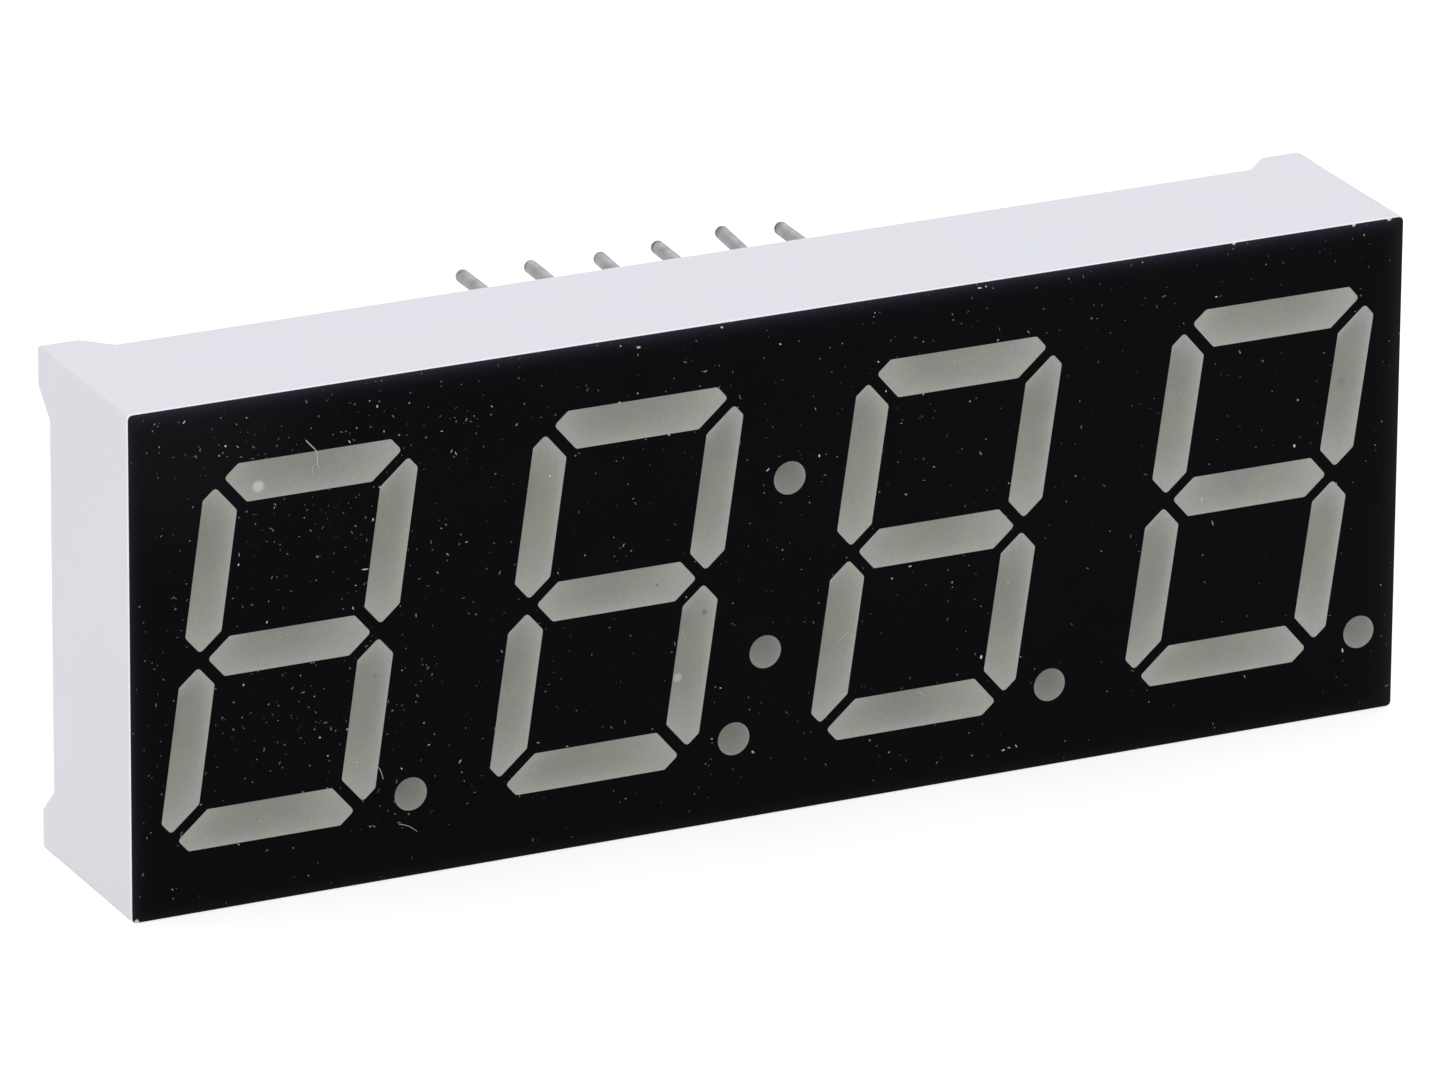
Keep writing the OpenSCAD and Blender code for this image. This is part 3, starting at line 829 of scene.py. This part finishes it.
shape = merged("rear_potting")
around_joints = [f for f in shape.faces if all(off_lead(v.co) < joint_hollow for v in f.verts)]
bmesh.ops.delete(shape, geom=around_joints, context="FACES")
open_rings = [e for e in shape.edges if e.is_boundary and on_plane(e.verts, board_back_y)]
bmesh.ops.holes_fill(shape, edges=open_rings, sides=0)
layer = shape.verts.layers.float.new("joint")
surface = fine_face(shape, potting_y, potting_net)
bank = [v for v in surface if any(not on_plane(f.verts, potting_y) for f in v.link_faces)]
shore = kdtree.KDTree(len(bank))
for i, vert in enumerate(bank):
    shore.insert((vert.co.x, 0, vert.co.z), i)
shore.balance()
rises = []
for vert in surface:
    to_wall = shore.find((vert.co.x, 0, vert.co.z))[2] / MM
    to_lead = off_lead(vert.co) / MM
    wave = noise.noise(vert.co / MM * 0.35 + Vector((3, 0, 7)))
    swell = noise.noise(vert.co / MM * 0.09 + Vector((1, 0, 4)))
    rise = wall_climb * math.exp(-to_wall / wall_climb_width) + 0.02 * wave + 0.04 * swell
    rise += lead_climb * math.exp(-max(to_lead - wire_radius, 0) / lead_climb_width)
    vert[layer] = math.exp(-(to_lead / joint_radius) ** 6)
    rises.append((vert, rise * MM))
for vert, rise in rises:
    vert.co.y += rise
potting = piece_from("rear_potting_resin", shape)
smooth(potting, 30)

# Filled epoxy, cast and self-levelled: milky and glossy, with swirls from pouring, small bubbles, and
# the board's warm tone and the solder's grey coming faintly through, with painted shade around each
# joint.
cast_epoxy, tree = new_material("milky_cast_epoxy")
place = millimetres(tree)
axes = add(tree, "ShaderNodeSeparateXYZ", links={0: place})
poured = add(tree, "ShaderNodeVectorMath", operation="MULTIPLY",
             links={0: place}, inputs={1: (0.09, 1, 0.3)})
swirl = add(tree, "ShaderNodeTexNoise", links={"Vector": poured.outputs[0]},
            inputs={"Scale": 1, "Detail": 3, "Distortion": 1.5})
swirl = add(tree, "ShaderNodeMapRange",
            links={"Value": swirl.outputs["Fac"]}, inputs={1: 0.35, 2: 0.65})
colour = blend(tree, swirl.outputs[0], "#BFC1B6", "#C8C9C0")
# The epoxy is deepest beside the board's edge, and palest there.
across = add(tree, "ShaderNodeMath", operation="ABSOLUTE", links={0: axes.outputs[0]})
across = add(tree, "ShaderNodeMapRange",
             links={"Value": across.outputs[0]}, inputs={1: 23.5, 2: 24.3})
upward = add(tree, "ShaderNodeMath", operation="ABSOLUTE", links={0: axes.outputs[2]})
upward = add(tree, "ShaderNodeMapRange",
             links={"Value": upward.outputs[0]}, inputs={1: 7.9, 2: 8.65})
deep = add(tree, "ShaderNodeMath", operation="MAXIMUM",
           links={0: across.outputs[0], 1: upward.outputs[0]})
deep = add(tree, "ShaderNodeMath", operation="MULTIPLY", links={0: deep.outputs[0]}, inputs={1: 0.7})
colour = blend(tree, deep.outputs[0], colour, "#D3D4CF")
# The solder's grey showing through, with painted shade around each joint.
joint = add(tree, "ShaderNodeAttribute", attribute_name="joint").outputs["Fac"]
joint = add(tree, "ShaderNodeMath", operation="MULTIPLY", links={0: joint}, inputs={1: 0.5})
colour = blend(tree, joint.outputs[0], colour, "#8D908F")
for density, size in ((0.7, 0.09), (0.22, 0.07)):
    cells = add(tree, "ShaderNodeTexVoronoi", links={"Vector": place}, inputs={"Scale": density})
    bubble = add(tree, "ShaderNodeMapRange", links={"Value": cells.outputs["Distance"]},
                 inputs={1: size, 2: size * 0.6, 3: 0, 4: 0.5})
    colour = blend(tree, bubble.outputs[0], colour, "#E2E3DE")
ripple = add(tree, "ShaderNodeTexNoise", links={"Vector": place}, inputs={"Scale": 0.6, "Detail": 2})
bump = add(tree, "ShaderNodeBump", links={"Height": ripple.outputs["Fac"]},
           inputs={"Strength": 0.35, "Distance": 0.05 * MM})
finish_material(tree, colour, bump.outputs[0], Roughness=0.16, IOR=1.52, Specular_IOR_Level=0.5)
settle(potting, cast_epoxy, "potting_resin", "rear_potting")


# ---- Dust and lint ----
# The black face has gathered paper dust and short fibres, most of it around the first digit
# and along the top. Each speck is a flat crumb, and each fibre a short curl.

half_width = 25.15 * MM
half_height = 9.5 * MM
crumb_thickness = 0.012 * MM
shape = merged("face_print")
rest = [f for f in shape.faces if not on_plane(f.verts, face_y) or f.normal.y > 0]
bmesh.ops.delete(shape, geom=rest, context="FACES")
dust_face = bpy.data.meshes.new("dust_face")
shape.to_mesh(dust_face)
shape.free()

scatter, given = new_tree("dust_scatter", {
    "Specks per square metre": "Float", "Seed": "Int", "Shortest": "Float", "Longest": "Float",
    "Slimness": "Float", "Broadness": "Float", "Thickness": "Float", "Curl": "Float",
    "Material": "Material",
})
spot = add(scatter, "GeometryNodeInputPosition").outputs[0]
axes = add(scatter, "ShaderNodeSeparateXYZ", links={0: spot})
across = add(scatter, "ShaderNodeMapRange", links={"Value": axes.outputs[0]},
             inputs={1: -half_width, 2: half_width, 3: 0, 4: 1})
across = add(scatter, "ShaderNodeFloatCurve", links={"Value": across.outputs[0]})
curve = across.mapping.curves[0]
curve.points[0].location = (0, 0.3)
curve.points[1].location = (1, 0.17)
for where, amount in ((0.06, 0.5), (0.15, 1), (0.25, 0.55), (0.4, 0.31), (0.55, 0.26), (0.7, 0.14)):
    curve.points.new(where, amount)
across.mapping.update()
upward = add(scatter, "ShaderNodeMapRange", links={"Value": axes.outputs[2]},
             inputs={1: -half_height, 2: half_height, 3: 0.33, 4: 1.1})
clumps = add(scatter, "ShaderNodeTexNoise", links={"Vector": spot}, inputs={"Scale": 400, "Detail": 2})
clumps = add(scatter, "ShaderNodeMapRange", links={"Value": clumps.outputs["Fac"]},
             inputs={1: 0.35, 2: 0.65, 3: 0.35, 4: 1.65})
density = sums(scatter, across.outputs[0], ("MULTIPLY", upward.outputs[0]),
               ("MULTIPLY", clumps.outputs[0]), ("MULTIPLY", given["Specks per square metre"]))
points = add(scatter, "GeometryNodeDistributePointsOnFaces",
             links={"Mesh": given["Geometry"], "Density": density, "Seed": given["Seed"]})
# A crumb is a flattened stone of twenty faces, and it becomes a curl when it is bent.
crumb = add(scatter, "GeometryNodeMeshIcoSphere", inputs={"Radius": 0.5, "Subdivisions": 1})
crumb_place = add(scatter, "GeometryNodeInputPosition").outputs[0]
crumb_axes = add(scatter, "ShaderNodeSeparateXYZ", links={0: crumb_place})
along = crumb_axes.outputs[0]
bow = sums(scatter, along, ("MULTIPLY", along), ("MULTIPLY", given["Curl"]))
bow = add(scatter, "ShaderNodeCombineXYZ", links={2: bow})
crumb = add(scatter, "GeometryNodeSetPosition", links={0: crumb.outputs[0], 3: bow.outputs[0]})
seed_two = sums(scatter, given["Seed"], ("ADD", 11))
seed_three = sums(scatter, given["Seed"], ("ADD", 23))
seed_four = sums(scatter, given["Seed"], ("ADD", 37))
pick = add(scatter, "FunctionNodeRandomValue", data_type="FLOAT",
           links={8: seed_two}, inputs={2: 0, 3: 1})
share = sums(scatter, pick.outputs[1], ("POWER", 2.2))
length = add(scatter, "ShaderNodeMapRange",
             links={"Value": share, 3: given["Shortest"], 4: given["Longest"]})
slim = add(scatter, "FunctionNodeRandomValue", data_type="FLOAT",
           links={2: given["Slimness"], 3: given["Broadness"], 8: seed_three})
width = sums(scatter, length.outputs[0], ("MULTIPLY", slim.outputs[1]))
scale = add(scatter, "ShaderNodeCombineXYZ",
            links={0: length.outputs[0], 1: given["Thickness"], 2: width})
turn = add(scatter, "FunctionNodeRandomValue", data_type="FLOAT", links={8: seed_four},
           inputs={2: 0, 3: 2 * math.pi})
turn = add(scatter, "ShaderNodeCombineXYZ", links={1: turn.outputs[1]})
placed = add(scatter, "GeometryNodeInstanceOnPoints",
             links={"Points": points.outputs[0], "Instance": crumb.outputs[0],
                    "Rotation": turn.outputs[0], "Scale": scale.outputs[0]})
light = add(scatter, "FunctionNodeRandomValue", data_type="FLOAT", links={8: given["Seed"]},
            inputs={2: 0, 3: 1})
shade = sums(scatter, light.outputs[1], ("POWER", 5))
shaded = add(scatter, "GeometryNodeStoreNamedAttribute", data_type="FLOAT", domain="INSTANCE",
             links={"Geometry": placed.outputs[0], "Value": shade}, inputs={"Name": "shade"})
end_tree(scatter, shaded.outputs[0], given["Material"])

# Cellulose dust: matt, from grey to white by the lightness each crumb is given.
fluff, tree = new_material("cellulose_dust_and_lint")
place = millimetres(tree)
shade = add(tree, "ShaderNodeAttribute", attribute_name="shade").outputs["Fac"]
speckle = add(tree, "ShaderNodeTexNoise", links={"Vector": place}, inputs={"Scale": 20, "Detail": 1})
colour = blend(tree, speckle.outputs["Fac"], "#4C4C4F", "#767674")
colour = blend(tree, shade, colour, "#D6D6D4")
finish_material(tree, colour, Roughness=1, Specular_IOR_Level=0.1)

for name, values in (
    ("dust_crumbs", {
        "Specks per square metre": 6.0e6, "Seed": 4, "Shortest": 0.025 * MM, "Longest": 0.1 * MM,
        "Slimness": 0.4, "Broadness": 0.95, "Curl": 0.0,
    }),
    ("dust_lint", {
        "Specks per square metre": 2.3e6, "Seed": 9, "Shortest": 0.07 * MM, "Longest": 0.2 * MM,
        "Slimness": 0.16, "Broadness": 0.36, "Curl": 1.2,
    }),
):
    values = {"Material": fluff, "Thickness": crumb_thickness, **values}
    settle(grown(name, dust_face.copy(), scatter, values), fluff, "segment_resin")

# The largest crumbs: X and Z, length, width, turn in degrees, and how light each is.
crumb_y = -8.004
shape = bmesh.new()
light_layer = shape.verts.layers.float.new("shade")
for x, z, length, width, turn, lightness in (
    (8.22, -4.85, 0.17, 0.10, 80, 1.0), (20.86, 1.31, 0.15, 0.09, 105, 1.0),
    (-5.54, 9.08, 0.18, 0.10, 165, 0.6), (-16.14, 2.40, 0.30, 0.05, 178, 0.9),
    (7.93, 9.30, 0.18, 0.07, 173, 0.8), (9.18, -8.61, 0.13, 0.07, 8, 0.9),
    (-0.92, -7.01, 0.15, 0.08, 130, 0.7), (-2.28, 9.34, 0.13, 0.08, 152, 0.8),
    (23.07, -7.00, 0.20, 0.07, 95, 0.9), (1.62, 3.90, 0.12, 0.07, 77, 0.9),
    (5.30, -0.89, 0.13, 0.06, 0, 0.8), (17.57, -1.16, 0.26, 0.03, 109, 0.7),
    (-15.66, 8.41, 0.13, 0.07, 80, 0.6), (-16.61, 1.02, 0.14, 0.05, 101, 0.7),
    (-12.63, 6.19, 0.18, 0.03, 113, 0.8), (-12.80, 6.30, 0.16, 0.03, 60, 0.7),
    (-23.02, 8.95, 0.17, 0.05, 49, 0.7), (17.52, 7.54, 0.12, 0.05, 171, 0.8),
    (-17.90, -3.65, 0.08, 0.07, 90, 0.9), (-20.99, 3.34, 0.11, 0.06, 75, 0.8),
    (-19.92, 1.02, 0.11, 0.06, 59, 0.8), (-15.83, 4.22, 0.14, 0.05, 95, 0.9),
    (-8.98, 4.77, 0.13, 0.07, 120, 1.0), (17.10, -0.18, 0.20, 0.08, 82, 1.0),
    (16.12, 4.05, 0.08, 0.05, 30, 0.8), (16.10, 2.10, 0.07, 0.05, 90, 0.7),
    (6.97, 6.67, 0.09, 0.05, 140, 0.8), (-16.47, -4.83, 0.08, 0.07, 0, 1.0),
    (-19.15, 0.43, 0.08, 0.04, 110, 0.8), (-20.20, -6.43, 0.24, 0.04, 142, 0.7),
):
    lie = Matrix.Translation(Vector((x, crumb_y, z)) * MM)
    lie = lie @ Matrix.Rotation(math.radians(-turn), 4, "Y")
    lie = lie @ Matrix.Diagonal((length * MM, crumb_thickness, width * MM, 1))
    for vert in bmesh.ops.create_icosphere(shape, subdivisions=1, radius=0.5, matrix=lie)["verts"]:
        vert[light_layer] = lightness
settle(piece_from("dust_single_crumbs", shape), fluff, "segment_resin")

# Single hairs: each a fine round thread that follows its own bends, a little uneven.
hair_tree, given = new_tree("lint_hair", {"Radius": "Float", "Material": "Material"})
knots = add(hair_tree, "ShaderNodeTexNoise", inputs={"Scale": 3000, "Detail": 1})
swell = sums(hair_tree, knots.outputs["Fac"], ("ADD", 0.5), ("MULTIPLY", given["Radius"]))
ring = add(hair_tree, "GeometryNodeCurvePrimitiveCircle", inputs={"Resolution": 5, "Radius": 1})
hair = add(hair_tree, "GeometryNodeCurveToMesh",
           links={"Curve": given["Geometry"], "Profile Curve": ring.outputs[0], "Scale": swell},
           inputs={"Fill Caps": True})
end_tree(hair_tree, hair.outputs[0], given["Material"])

# Cotton lint: off-white and matt, with a slight change of tone along each hair.
cotton, tree = new_material("cotton_lint_hair")
place = millimetres(tree)
along = add(tree, "ShaderNodeTexNoise", links={"Vector": place}, inputs={"Scale": 6, "Detail": 2})
colour = blend(tree, along.outputs["Fac"], "#B0B0A9", "#DEDED6")
finish_material(tree, colour, Roughness=0.9, Specular_IOR_Level=0.1)

# Each hair's radius, and the X and Z of its bends.
hair_y = -8.006
for name, radius, bends in (
    ("lint_hair_on_first_digit", 0.017, (
        (-18.40, 7.57), (-18.22, 7.37), (-18.02, 7.15), (-17.97, 7.01), (-17.97, 6.81),
        (-17.96, 6.62), (-17.90, 6.46),
    )),
    ("lint_hair_loop", 0.012, (
        (-17.96, 6.60), (-18.07, 6.61), (-18.14, 6.55), (-18.15, 6.38), (-18.10, 6.25),
        (-18.09, 6.07),
    )),
    ("lint_hair_below_point", 0.009, (
        (-14.85, -7.44), (-14.65, -7.50), (-14.50, -7.57), (-14.34, -7.67), (-14.14, -7.84),
    )),
    ("lint_hair_beside_point", 0.010, (
        (-16.55, -4.80), (-16.32, -4.82), (-16.08, -4.92), (-15.83, -5.05), (-15.64, -5.14),
        (-15.55, -5.31), (-15.50, -5.47), (-15.46, -5.63),
    )),
    ("lint_hair_on_third_digit", 0.011, (
        (2.44, -3.36), (2.60, -3.22), (2.70, -3.12), (2.84, -3.02),
    )),
    ("lint_hair_on_lowest_bar", 0.012, (
        (5.58, -5.74), (5.72, -5.80), (5.86, -5.88), (5.96, -5.96),
    )),
    ("lint_hair_on_second_digit", 0.012, (
        (-3.76, -1.92), (-3.72, -2.04), (-3.68, -2.18),
    )),
):
    path = [(x, hair_y, z) for x, z in bends]
    values = {"Radius": radius * MM, "Material": cotton}
    piece = grown(name, line_through(path, "NURBS"), hair_tree, values)
    smooth(piece, 60)
    settle(piece, cotton, "segment_resin")
